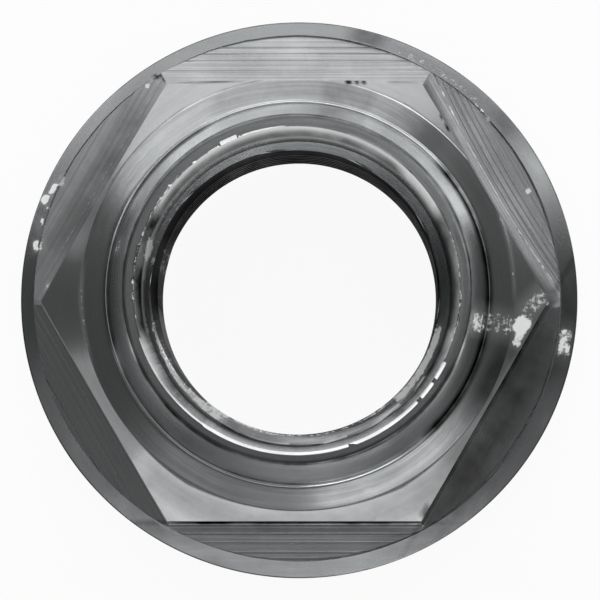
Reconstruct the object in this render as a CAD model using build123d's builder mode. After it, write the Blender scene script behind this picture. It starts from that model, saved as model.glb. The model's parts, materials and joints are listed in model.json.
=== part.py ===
from build123d import *

import os
from math import cos, hypot, pi, radians, sqrt, tan

# Serrated flange nut with a staking collar, turned and milled from one piece of steel.
# Millimetres. +Z runs up the thread's axis, and the origin is the centre of the bearing face.

# Thread, ISO metric fine M22 x 1.5, right hand. The bore is at the thread's minor diameter.
thread_diameter = 22.0
thread_pitch = 1.5

# Hexagon. The wall is measured from the thread's major radius to a flat.
hexagon_sides = 6
hexagon_wall = 5.0
hexagon_height = 7.9
corner_chamfer_angle = 30.0
shoulder_inset = 0.3
shoulder_angle = 13.0

# The hexagon is milled in its own setting, a little off the thread's axis.
hexagon_offset_x = -0.28
hexagon_offset_y = -0.47

# Flange. The overhang is measured from a flat to the rim.
flange_overhang = 4.7
flange_thickness = 3.4
rim_bevel_width = 1.25
rim_bevel_angle = 30.0
rim_foot_chamfer = 0.4
shelf_angle = 7.0
flat_foot_radius = 0.5

# Staking collar, a thin lip with no thread in it.
collar_height = 6.7
collar_draft_angle = 12.0
collar_foot_radius = 0.45
collar_crest_radius = 0.15
lip_thickness = 0.84
lip_edge_break = 0.1
counterbore_clearance = 0.05
counterbore_draft_angle = 4.6

# Thread entries.
thread_entry_angle = 45.0
mouth_clearance = 0.25

# Ratchet serrations on the bearing face, steep on the side that bites when the nut is undone.
serration_count = 36
serration_depth = 0.6
crest_share = 0.22
steep_flank_angle = 12.0
plain_land_width = 1.9

# Room that a cutting shape has past the metal that it takes away.
cutter_margin = 1.0

# Thread.
sharp_profile_height = thread_pitch * sqrt(3) / 2
thread_major_radius = thread_diameter / 2
thread_minor_radius = thread_major_radius - 5 / 8 * sharp_profile_height

# Radii, from the bore outwards.
mouth_radius = thread_major_radius + mouth_clearance
plain_land_radius = mouth_radius + plain_land_width
counterbore_radius = thread_major_radius + counterbore_clearance
lip_inner_radius = counterbore_radius + collar_height * tan(radians(counterbore_draft_angle))
lip_outer_radius = lip_inner_radius + lip_thickness
collar_foot_outer_radius = lip_outer_radius + collar_height * tan(radians(collar_draft_angle))
flat_distance = thread_major_radius + hexagon_wall
shoulder_radius = flat_distance - shoulder_inset
flange_radius = flat_distance + flange_overhang
bevel_inner_radius = flange_radius - rim_bevel_width
half_side_angle = pi / hexagon_sides

# Heights, from the bearing face upwards.
rim_top = flange_thickness - rim_bevel_width * tan(radians(rim_bevel_angle))
hexagon_offset = hypot(hexagon_offset_x, hexagon_offset_y)
shelf_corner_reach = bevel_inner_radius * cos(half_side_angle) - flat_distance - hexagon_offset
shelf_rise = shelf_corner_reach * tan(radians(shelf_angle))
shelf_foot = flange_thickness + shelf_rise
shelf_drop = (flange_radius + cutter_margin - flat_distance) * tan(radians(shelf_angle))
shoulder_height = flange_thickness + hexagon_height
collar_foot = shoulder_height + (shoulder_radius - collar_foot_outer_radius) * tan(radians(shoulder_angle))
nut_height = shoulder_height + collar_height
blank_chamfer_drop = (bevel_inner_radius - shoulder_radius) * tan(radians(corner_chamfer_angle))
thread_entry_depth = (counterbore_radius - thread_minor_radius) * tan(radians(thread_entry_angle))
mouth_depth = (mouth_radius - thread_minor_radius) * tan(radians(thread_entry_angle))

# The metal outside one flat and above its shelf, which slopes down to the rim and is rounded at
# the flat's foot.
with BuildPart() as flat_cutter:
    with BuildSketch(Plane.XZ):
        with BuildLine():
            Polyline(
                (flat_distance, shelf_foot),
                (flange_radius + cutter_margin, shelf_foot - shelf_drop),
                (flange_radius + cutter_margin, nut_height + cutter_margin),
                (flat_distance, nut_height + cutter_margin),
                close=True,
            )
        make_face()
        flat_foot = vertices().group_by(Axis.X)[0].sort_by(Axis.Y)[0]
        fillet(flat_foot, flat_foot_radius)
    extrude(amount=flange_radius, both=True)

# All that is milled off round the hexagon, which stops at the rim's bevel.
with BuildPart() as hexagon_cutter:
    with Locations((hexagon_offset_x, hexagon_offset_y)):
        with PolarLocations(0, hexagon_sides, start_angle=180 / hexagon_sides):
            add(flat_cutter.part)
    with BuildSketch():
        Circle(bevel_inner_radius)
    extrude(amount=nut_height + 2 * cutter_margin, mode=Mode.INTERSECT)

# One gullet of the serrations. Its steep flank and its ramp are planes through the origin, so
# they keep their angles from the plain land out to the rim.
serration_pitch_angle = 2 * pi / serration_count
gullet_slope = serration_depth / flange_radius
gullet_start = tan(serration_pitch_angle * crest_share / 2)
gullet_end = tan(serration_pitch_angle * (1 - crest_share / 2))
gullet_bottom = gullet_start + gullet_slope * tan(radians(steep_flank_angle))
crest_edge = Vector(1, gullet_start, 0)
bottom_edge = Vector(1, gullet_bottom, gullet_slope)
next_crest_edge = Vector(1, gullet_end, 0)
cutter_length = flange_radius + cutter_margin - plain_land_radius
cutter_half_width = (flange_radius + cutter_margin) * gullet_end + cutter_margin

with BuildPart() as gullet_cutter:
    with BuildSketch(Plane.XY.offset(-cutter_margin)):
        with Locations((plain_land_radius, 0)):
            Rectangle(cutter_length, 2 * cutter_half_width, align=(Align.MIN, Align.CENTER))
    extrude(amount=serration_depth + 2 * cutter_margin)
    split(bisect_by=Plane((0, 0, 0), z_dir=crest_edge.cross(bottom_edge)), keep=Keep.BOTTOM)
    split(bisect_by=Plane((0, 0, 0), z_dir=bottom_edge.cross(next_crest_edge)), keep=Keep.BOTTOM)

# The nut: the turned blank, then its hexagon, then its serrations.
with BuildPart() as nut_body:
    with BuildSketch(Plane.XZ):
        with BuildLine():
            Polyline(
                (mouth_radius, 0),
                (flange_radius - rim_foot_chamfer, 0),
                (flange_radius, rim_foot_chamfer),
                (flange_radius, rim_top),
                (bevel_inner_radius, flange_thickness),
                (bevel_inner_radius, shoulder_height - blank_chamfer_drop),
                (shoulder_radius, shoulder_height),
                (collar_foot_outer_radius, collar_foot),
                (lip_outer_radius, nut_height),
                (lip_inner_radius, nut_height),
                (counterbore_radius, shoulder_height),
                (thread_minor_radius, shoulder_height - thread_entry_depth),
                (thread_minor_radius, mouth_depth),
                close=True,
            )
        make_face()
        lip_corners = vertices().group_by(Axis.Y)[-1].sort_by(Axis.X)
        chamfer(lip_corners[0], lip_edge_break)
        fillet(lip_corners[-1], collar_crest_radius)
        collar_foot_corner = vertices().sort_by_distance((collar_foot_outer_radius, collar_foot, 0))[0]
        fillet(collar_foot_corner, collar_foot_radius)
    revolve(axis=Axis.Z)
    add(hexagon_cutter.part, mode=Mode.SUBTRACT)
    with PolarLocations(0, serration_count):
        add(gullet_cutter.part, mode=Mode.SUBTRACT)

nut_body.part.label = "nut_body"
os.makedirs("parts", exist_ok=True)
export_step(nut_body.part, "parts/nut_body.step")
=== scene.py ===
import json
import logging
import math
from dataclasses import dataclass, field
from enum import Enum

import bmesh
import bpy
import numpy as np
from mathutils import Matrix, Vector


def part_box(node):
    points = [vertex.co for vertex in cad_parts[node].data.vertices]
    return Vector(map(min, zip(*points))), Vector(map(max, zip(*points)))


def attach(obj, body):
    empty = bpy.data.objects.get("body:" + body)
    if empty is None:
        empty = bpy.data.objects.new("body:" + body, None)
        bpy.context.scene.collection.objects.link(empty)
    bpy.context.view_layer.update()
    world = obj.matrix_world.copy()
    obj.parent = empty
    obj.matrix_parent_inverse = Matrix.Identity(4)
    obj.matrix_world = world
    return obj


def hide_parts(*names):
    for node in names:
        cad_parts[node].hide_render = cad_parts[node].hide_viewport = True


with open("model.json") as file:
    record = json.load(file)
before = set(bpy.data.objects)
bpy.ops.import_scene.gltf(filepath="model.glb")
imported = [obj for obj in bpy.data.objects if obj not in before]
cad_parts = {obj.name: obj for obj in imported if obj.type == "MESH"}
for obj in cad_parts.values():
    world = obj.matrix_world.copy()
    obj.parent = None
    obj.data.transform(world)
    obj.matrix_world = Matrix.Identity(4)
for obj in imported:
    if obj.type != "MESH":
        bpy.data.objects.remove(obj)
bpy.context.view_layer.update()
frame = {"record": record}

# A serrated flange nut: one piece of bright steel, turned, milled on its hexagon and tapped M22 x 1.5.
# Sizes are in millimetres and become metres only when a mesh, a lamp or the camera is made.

MM = 0.001
NODE = "nut_body"
BODY = "root"
log = logging.getLogger("nut")

# Points of the mesh this near to each other, in metres, are one point.
WELD_DISTANCE = 2e-7
# Faces that meet at more than this angle, in degrees, keep a crisp edge.
CRISP_EDGE_ANGLE = 24.0
# A radius that changes by less than this from row to row, in millimetres, belongs to an upright wall.
UPRIGHT_TOLERANCE = 1e-6
# Columns of the mesh that are this near to each other, in radians, are one column.
COLUMN_TOLERANCE = 1e-7


class Finish(Enum):
    """How a stretch of the nut's surface was made. The value is its place among the materials."""

    TURNED = 0
    MILLED = 1
    TAPPED = 2
    PRESSED = 3
    BORED = 4
    ROLLED = 5
    CHAMFERED = 6


def tan_deg(angle: float) -> float:
    """Return the tangent of an angle in degrees."""
    return math.tan(math.radians(angle))


def wander(angles: np.ndarray, seed: int, waves: int = 9, slowest: int = 3) -> np.ndarray:
    """Return a smooth closed random curve round the nut.

    The curve is a sum of sines of whole-number frequencies with seeded phases, each weaker than
    the one before, so it closes on itself and is the same on every run. The sum is divided by
    about what it reaches.

    Args:
        angles: Angles in radians.
        seed: Seed of the phases.
        waves: Number of sines.
        slowest: Frequency of the first sine, in waves per turn.

    Returns:
        Values of roughly -1 to 1, shaped as angles.
    """
    draw = np.random.default_rng(seed)
    usual_peak = 1.6
    total = np.zeros_like(angles)
    for wave in range(waves):
        frequency = slowest + wave * (wave + 3) // 2
        total += np.sin(frequency * angles + draw.uniform(0, 2 * np.pi)) / (wave + 1.5)
    return total / usual_peak


def spread(start: np.ndarray, end: np.ndarray, steps: int) -> np.ndarray:
    """Return rows in even steps from one row of values to another.

    Args:
        start: Values at the first row, one for each column.
        end: Values at the last row.
        steps: Number of bands between the rows.

    Returns:
        An array of steps + 1 rows.
    """
    share = np.linspace(0, 1, steps + 1)[:, None]
    return start * (1 - share) + end * share


@dataclass(frozen=True)
class NutSizes:
    """Sizes of the nut in millimetres and degrees.

    They are those of the solid, apart from the collar's crest radius, which is a little smaller,
    and the last three. The field is the milled area round the hexagon, whose outer circle is a
    little off the nut's axis. The edge row is how far from an edge the next row of points stands,
    which keeps the light on the edge narrow.
    """

    flange_radius: float
    nut_height: float
    thread_minor_radius: float
    thread_major_radius: float = 11.0
    thread_pitch: float = 1.5
    flat_distance: float = 16.0
    hexagon_offset: tuple[float, float] = (-0.28, -0.47)
    shoulder_inset: float = 0.3
    shoulder_angle: float = 13.0
    corner_chamfer_angle: float = 30.0
    flange_thickness: float = 3.4
    rim_bevel_width: float = 1.25
    rim_bevel_angle: float = 30.0
    rim_foot_chamfer: float = 0.4
    shelf_angle: float = 7.0
    flat_foot_radius: float = 0.5
    collar_height: float = 6.7
    collar_draft_angle: float = 12.0
    collar_foot_radius: float = 0.45
    collar_crest_radius: float = 0.1
    lip_thickness: float = 0.84
    counterbore_clearance: float = 0.05
    counterbore_draft_angle: float = 4.6
    mouth_clearance: float = 0.25
    serration_count: int = 36
    serration_depth: float = 0.6
    crest_share: float = 0.22
    steep_flank_angle: float = 12.0
    plain_land_width: float = 1.9
    field_radius: float = 19.54
    field_offset: tuple[float, float] = (-0.18, 0.12)
    edge_row: float = 0.08

    @classmethod
    def from_frame(cls) -> "NutSizes":
        """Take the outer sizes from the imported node's box and the bore from its mount.

        Returns:
            The sizes of this nut.
        """
        low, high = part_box(NODE)
        mounts = {mount["name"]: mount for mount in frame["record"]["mounts"]}
        return cls(
            flange_radius=(high[0] - low[0]) / 2 / MM,
            nut_height=high[2] / MM,
            thread_minor_radius=mounts["thread"]["dims"]["r_mm"],
        )

    @property
    def shoulder_height(self) -> float:
        """Height of the hexagon's shoulder at its outer circle."""
        return self.nut_height - self.collar_height

    @property
    def shoulder_radius(self) -> float:
        """Radius of the circle where the corner chamfers begin."""
        return self.flat_distance - self.shoulder_inset

    @property
    def counterbore_radius(self) -> float:
        """Radius of the counterbore at its floor."""
        return self.thread_major_radius + self.counterbore_clearance

    @property
    def lip_inner_radius(self) -> float:
        """Inner radius of the collar's lip."""
        return self.counterbore_radius + self.collar_height * tan_deg(self.counterbore_draft_angle)

    @property
    def lip_outer_radius(self) -> float:
        """Outer radius of the collar's lip."""
        return self.lip_inner_radius + self.lip_thickness

    @property
    def bevel_inner_radius(self) -> float:
        """Radius where the rim's bevel meets the milled shelves."""
        return self.flange_radius - self.rim_bevel_width

    @property
    def mouth_radius(self) -> float:
        """Radius of the bore's mouth in the bearing face."""
        return self.thread_major_radius + self.mouth_clearance

    @property
    def plain_land_radius(self) -> float:
        """Radius where the serrations begin."""
        return self.mouth_radius + self.plain_land_width

    @property
    def shelf_foot(self) -> float:
        """Height at which a shelf's plane would meet its flat.

        It is the rim's height plus the rise of the plane from the nearest corner of the rim.

        Returns:
            The height in millimetres.
        """
        offset = math.hypot(*self.hexagon_offset)
        reach = self.bevel_inner_radius * math.cos(math.pi / 6) - self.flat_distance - offset
        return self.flange_thickness + reach * tan_deg(self.shelf_angle)

    @property
    def gullet_slope(self) -> float:
        """Depth of a gullet for each millimetre from the axis."""
        return self.serration_depth / self.flange_radius

    @property
    def rim_top(self) -> float:
        """Height where the rim's outer wall meets its bevel."""
        return self.flange_thickness - self.rim_bevel_width * tan_deg(self.rim_bevel_angle)


@dataclass(frozen=True)
class Patch:
    """A long spot on the nut, seen from above, between two heights, in millimetres and degrees.

    Its outline is between an ellipse and a rectangle. It is full out to the first share of its
    half sizes, and gone at the second.
    """

    x: float
    y: float
    half_length: float
    half_width: float
    turn: float
    strength: float
    low: float = 0.5
    high: float = 50.0
    full_share: float = 1 / 2
    gone_share: float = 4 / 3

    def cover(self, x: np.ndarray, y: np.ndarray, z: np.ndarray) -> np.ndarray:
        """Work out how strongly the patch covers each point.

        The distance from its middle is the fourth root of the summed fourth powers of the distances
        along and across it, each as a share of its half size, and the cover falls evenly with it.

        Args:
            x: Places of the points, in millimetres.
            y: The same along Y.
            z: Their heights.

        Returns:
            Cover from 0 to the patch's strength, shaped as x.
        """
        turn = math.radians(self.turn)
        along = (x - self.x) * math.cos(turn) + (y - self.y) * math.sin(turn)
        across = (y - self.y) * math.cos(turn) - (x - self.x) * math.sin(turn)
        away = ((along / self.half_length) ** 4 + (across / self.half_width) ** 4) ** 0.25
        fading = (self.gone_share - away) / (self.gone_share - self.full_share)
        return self.strength * np.clip(fading, 0, 1) * (z > self.low) * (z < self.high)


@dataclass(frozen=True)
class Arc:
    """A stretch of ring on the nut, seen from above, over a height, in millimetres and degrees.

    It fades over some degrees at its ends, and over the outer half of its half width at its sides.
    A whole ring has no ends.
    """

    radius: float
    half_width: float
    start: float
    end: float
    strength: float
    fade: float = 6.0
    low: float = 0.5

    def cover(self, x: np.ndarray, y: np.ndarray, z: np.ndarray) -> np.ndarray:
        """Work out how strongly the arc covers each point.

        The cover is the product of how far the point is inside the arc's ends and inside its sides.

        Args:
            x: Places of the points, in millimetres.
            y: The same along Y.
            z: Their heights.

        Returns:
            Cover from 0 to the arc's strength, shaped as x.
        """
        middle, half = (self.start + self.end) / 2, (self.end - self.start) / 2
        turn = np.abs(np.mod(np.degrees(np.arctan2(y, x)) - middle + 180, 360) - 180)
        ends = np.clip((half - turn) / self.fade, 0, 1) if half < 180 else 1.0
        sides = np.clip(2 - 2 * np.abs(np.hypot(x, y) - self.radius) / self.half_width, 0, 1)
        return self.strength * ends * sides * (z > self.low)


@dataclass(frozen=True)
class WearAndPaintedLight:
    """Where rubs and painted highlights lighten the nut, and where dirt and painted shade darken it.

    Up is +Y and right is +X, with the collar towards the eye. Above a height of 5 mm lie the
    hexagon's top and the collar, and below it the shelves and the rim.
    """

    # Rubs and painted highlights, which lighten the colour.
    rubs_and_painted_highlights: tuple[Patch | Arc, ...] = (
        # The right corner, and the scuffs from there over the shoulder and out over the rim.
        Patch(16.25, -2.3, 0.95, 0.75, 60, 0.8, low=5.0),
        Patch(15.95, -3.3, 0.75, 0.5, 72, 0.64, low=5.0),
        Patch(17.2, -0.7, 2.0, 1.0, 48, 0.5, low=5.0),
        Patch(14.6, -2.2, 1.9, 1.2, -12, 0.5, low=5.0),
        Patch(13.0, -2.25, 0.7, 1.0, 0, 0.56, low=5.0),
        Patch(18.3, 0.1, 0.5, 0.5, 60, 0.5, high=5.0),
        Patch(19.7, -3.2, 1.6, 0.75, 82, 0.6),
        # The shoulder at the lower right.
        Patch(11.6, -10.2, 2.8, 1.5, 45, 0.36),
        # Flakes along the rim at the left and at the left corner.
        Patch(-18.9, 7.46, 0.5, 0.36, 60, 0.8),
        Patch(-18.27, 8.27, 0.6, 0.3, 60, 0.72),
        Patch(-17.6, 8.8, 0.3, 0.48, 0, 0.75),
        Patch(-19.06, 5.72, 0.45, 0.2, 107, 0.75),
        Patch(-18.68, 6.84, 0.4, 0.18, 110, 0.7),
        Patch(-19.46, 3.96, 0.4, 0.56, 0, 0.8),
        Patch(-19.3, 5.0, 1.6, 0.3, 105, 0.42),
        Patch(-18.6, 0.9, 0.5, 0.35, 90, 0.55),
        # Single specks at the upper left corner and on the upper right shelf.
        Patch(-11.3, 15.9, 0.22, 0.22, 0, 0.9),
        Patch(17.07, 8.05, 0.24, 0.24, 0, 0.95),
        # Scratches on the upper right rim and along the foot of the flat there.
        Patch(13.6, 13.9, 1.4, 0.22, -46, 0.6),
        Patch(11.0, 16.0, 1.8, 0.25, -33, 0.5),
        Patch(15.0, 6.75, 8.0, 0.3, -60, 0.36, high=5.0),
        Patch(8.4, 18.0, 2.0, 0.4, -28, 0.4),
        # The chamfer, the bore and the collar at the left.
        Patch(-16.2, 3.7, 1.1, 0.7, 75, 0.33, low=5.0),
        Patch(-9.9, 2.6, 1.4, 0.3, 75, 0.5),
        Patch(-10.75, 3.1, 1.2, 0.22, 74, 0.62, low=10.5),
        Patch(-12.9, 3.3, 0.7, 0.3, 75, 0.5),
        # Painted highlights on the thread's entry, the lip's edge, the shoulder's edge and the thread's
        # crests at the near side, and a rub on the rim.
        Arc(10.8, 0.25, 95, 175, 0.45, low=10.5),
        Arc(11.66, 0.14, -26, 27, 0.52, low=17.0),
        Arc(11.66, 0.14, 128, 196, 0.5, low=17.0),
        Arc(15.7, 0.16, -4, 36, 0.42, low=5.0),
        Arc(15.7, 0.16, 170, 200, 0.46, low=5.0),
        Arc(15.7, 0.12, 215, 335, 0.34, low=5.0),
        Arc(19.9, 0.6, 40, 75, 0.42),
        Arc(10.6, 0.45, 186, 243, 0.58),
        Arc(10.5, 0.4, 308, 352, 0.62),
        Arc(10.25, 0.2, 225, 335, 0.6),
    )
    # Dirt and painted shade, which darken the colour.
    dirt_and_painted_shade: tuple[Patch | Arc, ...] = (
        # Painted shade: in the corner at the foot of the lower flat, then over the upper left and lower
        # right shelves, which face away from the light, with a line along the foot of the lower right flat.
        Patch(-0.28, -16.6, 13.0, 0.2, 0, 0.9, high=5.0),
        Patch(-0.28, -16.95, 12.0, 0.45, 0, 0.4, high=5.0),
        Patch(-14.4, 8.3, 8.0, 2.2, 60, 0.5, high=5.0),
        Patch(13.8, -8.8, 11.0, 3.0, 60, 0.62, high=5.0),
        Patch(13.99, -8.08, 13.0, 0.25, 60, 0.85, high=5.0),
        # Darker spots on the rim at the upper right; the second is painted shade.
        Patch(5.2, 19.5, 1.5, 0.8, -15, 0.55),
        Patch(15.3, 13.2, 1.1, 0.9, -50, 0.35),
        # Painted shade above the lower right and upper left flats, on the shoulder's edge where it dims a
        # highlight, and on the lower chamfers.
        Patch(14.1, -6.2, 3.2, 0.8, 62, 0.6, low=5.0),
        Patch(-14.2, 7.3, 2.4, 1.2, 60, 0.24, low=5.0),
        Arc(15.72, 0.12, 96, 156, 0.5, low=5.0),
        Arc(17.0, 1.4, 226, 326, 0.26, low=5.0),
        # Dark lines and pits along the edges of the flats and at their corners.
        Patch(9.3, -15.7, 0.6, 0.25, 62, 0.8, low=5.0),
        Patch(-6.6, 15.5, 2.4, 0.12, 0, 0.7, low=5.0),
        Patch(7.6, 15.5, 1.0, 0.12, 0, 0.5, low=5.0),
        Patch(3.7, 15.4, 0.26, 0.2, 0, 1.0),
        Patch(4.3, 15.4, 0.17, 0.18, 0, 1.0),
        Patch(4.8, 15.4, 0.17, 0.18, 0, 1.0),
        Patch(10.46, 12.9, 0.2, 0.14, -60, 1.0),
        Patch(10.9, 12.1, 0.28, 0.15, -60, 1.0),
        Patch(-10.6, 16.6, 0.3, 0.2, 0, 1.0),
        # Darker rings: the rim's edge, then painted shade on the lip's outer edge, the counterbore and the
        # lip.
        Arc(20.72, 0.12, 0, 360, 0.9),
        Arc(12.43, 0.14, 200, 340, 0.8),
        Arc(12.43, 0.14, -20, 200, 0.7),
        Arc(11.25, 0.28, 46, 160, 0.55, low=13.5),
        Arc(12.15, 0.35, -36, 24, 0.3, low=17.9),
        # Painted shade on the shoulder at the far side, and in the crease at the collar's foot.
        Arc(14.9, 1.1, 64, 88, 0.45),
        Arc(14.9, 1.1, 44, 118, 0.28),
        Arc(13.85, 0.35, -50, 45, 0.8),
        Arc(13.85, 0.35, 116, 200, 0.5),
        Arc(13.85, 0.35, 200, 310, 0.3),
        # Painted shade on the counterbore's wall and the thread, which lie in shade inside the bore, and a
        # darker band on the rim at the upper right.
        Arc(11.35, 0.45, -18, 32, 0.6),
        Arc(11.35, 0.45, 146, 200, 0.8, low=14.0),
        Arc(11.35, 0.45, 210, 240, 0.4),
        Arc(11.35, 0.45, 304, 345, 0.45),
        Arc(10.08, 0.32, -20, 190, 0.9),
        Arc(10.5, 0.7, 236, 305, 0.5),
        Arc(19.9, 0.6, 38, 74, 0.35),
    )

    def paint(self, mesh: bpy.types.Mesh, x: np.ndarray, y: np.ndarray, z: np.ndarray) -> None:
        """Store the rubs and painted highlights, and the dirt and painted shade, on the mesh's points.

        Where patches overlap, the stronger one counts. Points between the edges of an upright wall
        get none, because a patch is laid out from above.

        Args:
            mesh: The nut's mesh.
            x: Places of its points in millimetres, rows by columns.
            y: The same along Y.
            z: Their heights.
        """
        leaning = np.abs(np.gradient(np.hypot(x, y), axis=0)) > UPRIGHT_TOLERANCE
        for name, patches in (("rubs_and_painted_highlights", self.rubs_and_painted_highlights), ("dirt_and_painted_shade", self.dirt_and_painted_shade)):
            total = np.zeros_like(x)
            for patch in patches:
                total = np.maximum(total, patch.cover(x, y, z))
            values = (total * leaning).ravel()
            mesh.attributes.new(name, "FLOAT", "POINT").data.foreach_set("value", values)


@dataclass(frozen=True)
class Columns:
    """The angles of the mesh's columns, and the directions of the flats and the corners."""

    sizes: NutSizes
    ramp_steps: int = 13

    @property
    def tooth_angles(self) -> tuple[float, float, float]:
        """Angles from a crest's middle to the edges of the gullet next to it.

        Returns:
            The angles of the crest's edge, the gullet's bottom and the next crest, in radians.
        """
        pitch = 2 * math.pi / self.sizes.serration_count
        crest = pitch * self.sizes.crest_share / 2
        bottom = crest + self.sizes.gullet_slope * tan_deg(self.sizes.steep_flank_angle)
        return crest, bottom, pitch - crest

    def flat_angles(self) -> np.ndarray:
        """Return the directions that the six flats face."""
        return np.radians(30 + 60 * np.arange(6))

    def flat_offsets(self) -> np.ndarray:
        """Return how far each flat is pushed outwards by the hexagon's offset."""
        across, up = self.sizes.hexagon_offset
        return across * np.cos(self.flat_angles()) + up * np.sin(self.flat_angles())

    def corner_angles(self) -> np.ndarray:
        """Return where the hexagon's corners stand, seen from the thread's axis.

        Two neighbouring flats a and b, at distances p and q, meet where p / cos(t - a) equals
        q / cos(t - b), which gives the tangent of t from the sines and cosines of a and b.

        Returns:
            Six angles in radians.
        """
        angle = self.flat_angles()
        distance = self.sizes.flat_distance + self.flat_offsets()
        before, reach = np.roll(angle, 1), np.roll(distance, 1)
        rise = distance * np.cos(before) - reach * np.cos(angle)
        run = reach * np.sin(angle) - distance * np.sin(before)
        # The hair that is added keeps a corner at zero from turning into one at a full turn.
        return np.mod(np.arctan2(rise, run) + COLUMN_TOLERANCE / 100, 2 * np.pi)

    def angles(self) -> np.ndarray:
        """Return every column's angle over one turn, with the first column again at the end.

        The columns are each tooth's edges, even steps along its ramp, and the six corners.

        Returns:
            Rising angles in radians.
        """
        crest, bottom, end = self.tooth_angles
        ramp = np.linspace(bottom, end, self.ramp_steps + 1)[:-1]
        tooth = np.concatenate([[-crest, 0.0, crest], ramp])
        starts = np.arange(self.sizes.serration_count) * 2 * np.pi / self.sizes.serration_count
        turn = np.mod((starts[:, None] + tooth[None, :]).ravel(), 2 * np.pi)
        turn = np.unique(np.concatenate([turn, self.corner_angles()]))
        apart = np.diff(np.append(turn, turn[0] + 2 * np.pi)) > COLUMN_TOLERANCE
        turn = turn[apart]
        return np.append(turn, turn[0] + 2 * np.pi)


class Profile:
    """The nut's section at every column, built up row by row round its closed outline."""

    def __init__(self, angles: np.ndarray, radius: float, height: float) -> None:
        """Start the outline.

        Args:
            angles: Angle of each column.
            radius: Radius of the first row.
            height: Height of the first row.
        """
        self.angles = angles
        self.radii = [np.full_like(angles, radius)]
        self.heights = [np.full_like(angles, height)]
        self.across: list[np.ndarray] = []
        self.finishes: list[Finish] = []

    @property
    def radius(self) -> np.ndarray:
        """Radius of the last row."""
        return self.radii[-1]

    @property
    def height(self) -> np.ndarray:
        """Height of the last row."""
        return self.heights[-1]

    def run(self, radii: np.ndarray, heights: np.ndarray, finish: Finish,
            across: np.ndarray | None = None) -> None:
        """Add rows after the last one.

        Args:
            radii: Radius of each new row, as rows by columns.
            heights: Height of each new row.
            finish: How this stretch was made.
            across: Millimetres across the tool marks, for the last row and each new one. The
                outline's own length is taken if it isn't given.
        """
        for row, (radius, height) in enumerate(zip(radii, heights)):
            if across is None:
                step = np.hypot(radius - self.radius, height - self.height)
                start = self.across[-1][1] if self.across else np.zeros_like(radius)
                self.across.append(np.stack([start, start + step]))
            else:
                self.across.append(np.stack([across[row], across[row + 1]]))
            self.radii.append(radius)
            self.heights.append(height)
            self.finishes.append(finish)

    def line(self, radius: float | np.ndarray, height: float | np.ndarray, finish: Finish,
             steps: int) -> None:
        """Add a straight stretch from the last row, in even steps.

        Args:
            radius: Radius at its end, the same all round or one for each column.
            height: Height at its end.
            finish: How this stretch was made.
            steps: Number of bands.
        """
        radii = spread(self.radius, np.broadcast_to(radius, self.angles.shape), steps)
        heights = spread(self.height, np.broadcast_to(height, self.angles.shape), steps)
        self.run(radii[1:], heights[1:], finish)

    def corner(self, corner: tuple[float, float], end: tuple[float, float], radius: float,
               finish: Finish, steps: int) -> None:
        """Add a straight stretch that ends in a round towards a second one.

        The round is an arc of the given radius, tangent to the line that comes from the last row
        and to the line from the corner towards end.

        Args:
            corner: Radius and height of the sharp corner.
            end: A point that the outline goes towards after it.
            radius: Radius of the round.
            finish: How this stretch was made.
            steps: Number of bands in the round.
        """
        here = np.array([self.radius.mean(), self.height.mean()])
        point = np.array(corner)
        into = (here - point) / np.linalg.norm(here - point)
        out = (np.array(end) - point) / np.linalg.norm(np.array(end) - point)
        half = math.acos(float(np.clip(into @ out, -1, 1))) / 2
        middle = point + (into + out) / np.linalg.norm(into + out) * radius / math.sin(half)
        first = point + into * radius / math.tan(half) - middle
        last = point + out * radius / math.tan(half) - middle
        sweep = math.pi - 2 * half
        for share in np.linspace(0, 1, steps + 1):
            blend = math.sin((1 - share) * sweep) * first + math.sin(share * sweep) * last
            radial, upward = middle + blend / math.sin(sweep)
            self.line(radial, upward, finish, steps=1)

    def mesh(self, name: str, wear_and_light: WearAndPaintedLight) -> bpy.types.Object:
        """Make the closed mesh: row by column quads, welded where rows or columns meet.

        A point stands at its radius in its column's direction, at its row's height.

        Args:
            name: Name of the piece.
            wear_and_light: What is painted on its points.

        Returns:
            The piece, linked to the scene.
        """
        radii, heights = np.array(self.radii), np.array(self.heights)
        points = np.stack([radii * np.cos(self.angles), radii * np.sin(self.angles), heights], axis=-1)
        rows, columns = radii.shape
        row, column = np.meshgrid(np.arange(rows - 1), np.arange(columns - 1), indexing="ij")
        first = row * columns + column
        quads = np.stack([first, first + columns, first + columns + 1, first + 1], axis=-1).reshape(-1, 4)
        marks = np.array(self.across)
        corners = np.stack([marks[:, 0, :-1], marks[:, 1, :-1], marks[:, 1, 1:], marks[:, 0, 1:]], axis=-1)
        slots = np.repeat([finish.value for finish in self.finishes], columns - 1)
        mesh = bpy.data.meshes.new(name)
        mesh.from_pydata((points.reshape(-1, 3) * MM).tolist(), [], quads.tolist())
        mesh.attributes.new("across", "FLOAT", "CORNER").data.foreach_set("value", corners.ravel())
        wear_and_light.paint(mesh, points[..., 0], points[..., 1], points[..., 2])
        mesh.polygons.foreach_set("material_index", slots.astype(np.int32))
        mesh.polygons.foreach_set("use_smooth", np.ones(len(quads), dtype=bool))
        shell = bmesh.new()
        shell.from_mesh(mesh)
        bmesh.ops.remove_doubles(shell, verts=shell.verts, dist=WELD_DISTANCE)
        bmesh.ops.recalc_face_normals(shell, faces=shell.faces)
        open_edges = sum(1 for edge in shell.edges if not edge.is_manifold)
        log.info("%s: %d faces, %d triangles, %d open edges, volume %.1f mm3", name, len(shell.faces),
                 sum(len(face.verts) - 2 for face in shell.faces), open_edges,
                 shell.calc_volume(signed=True) / MM ** 3)
        shell.to_mesh(mesh)
        shell.free()
        mesh.set_sharp_from_angle(angle=math.radians(CRISP_EDGE_ANGLE))
        mesh.update()
        piece = bpy.data.objects.new(name, mesh)
        bpy.context.scene.collection.objects.link(piece)
        return piece


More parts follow.
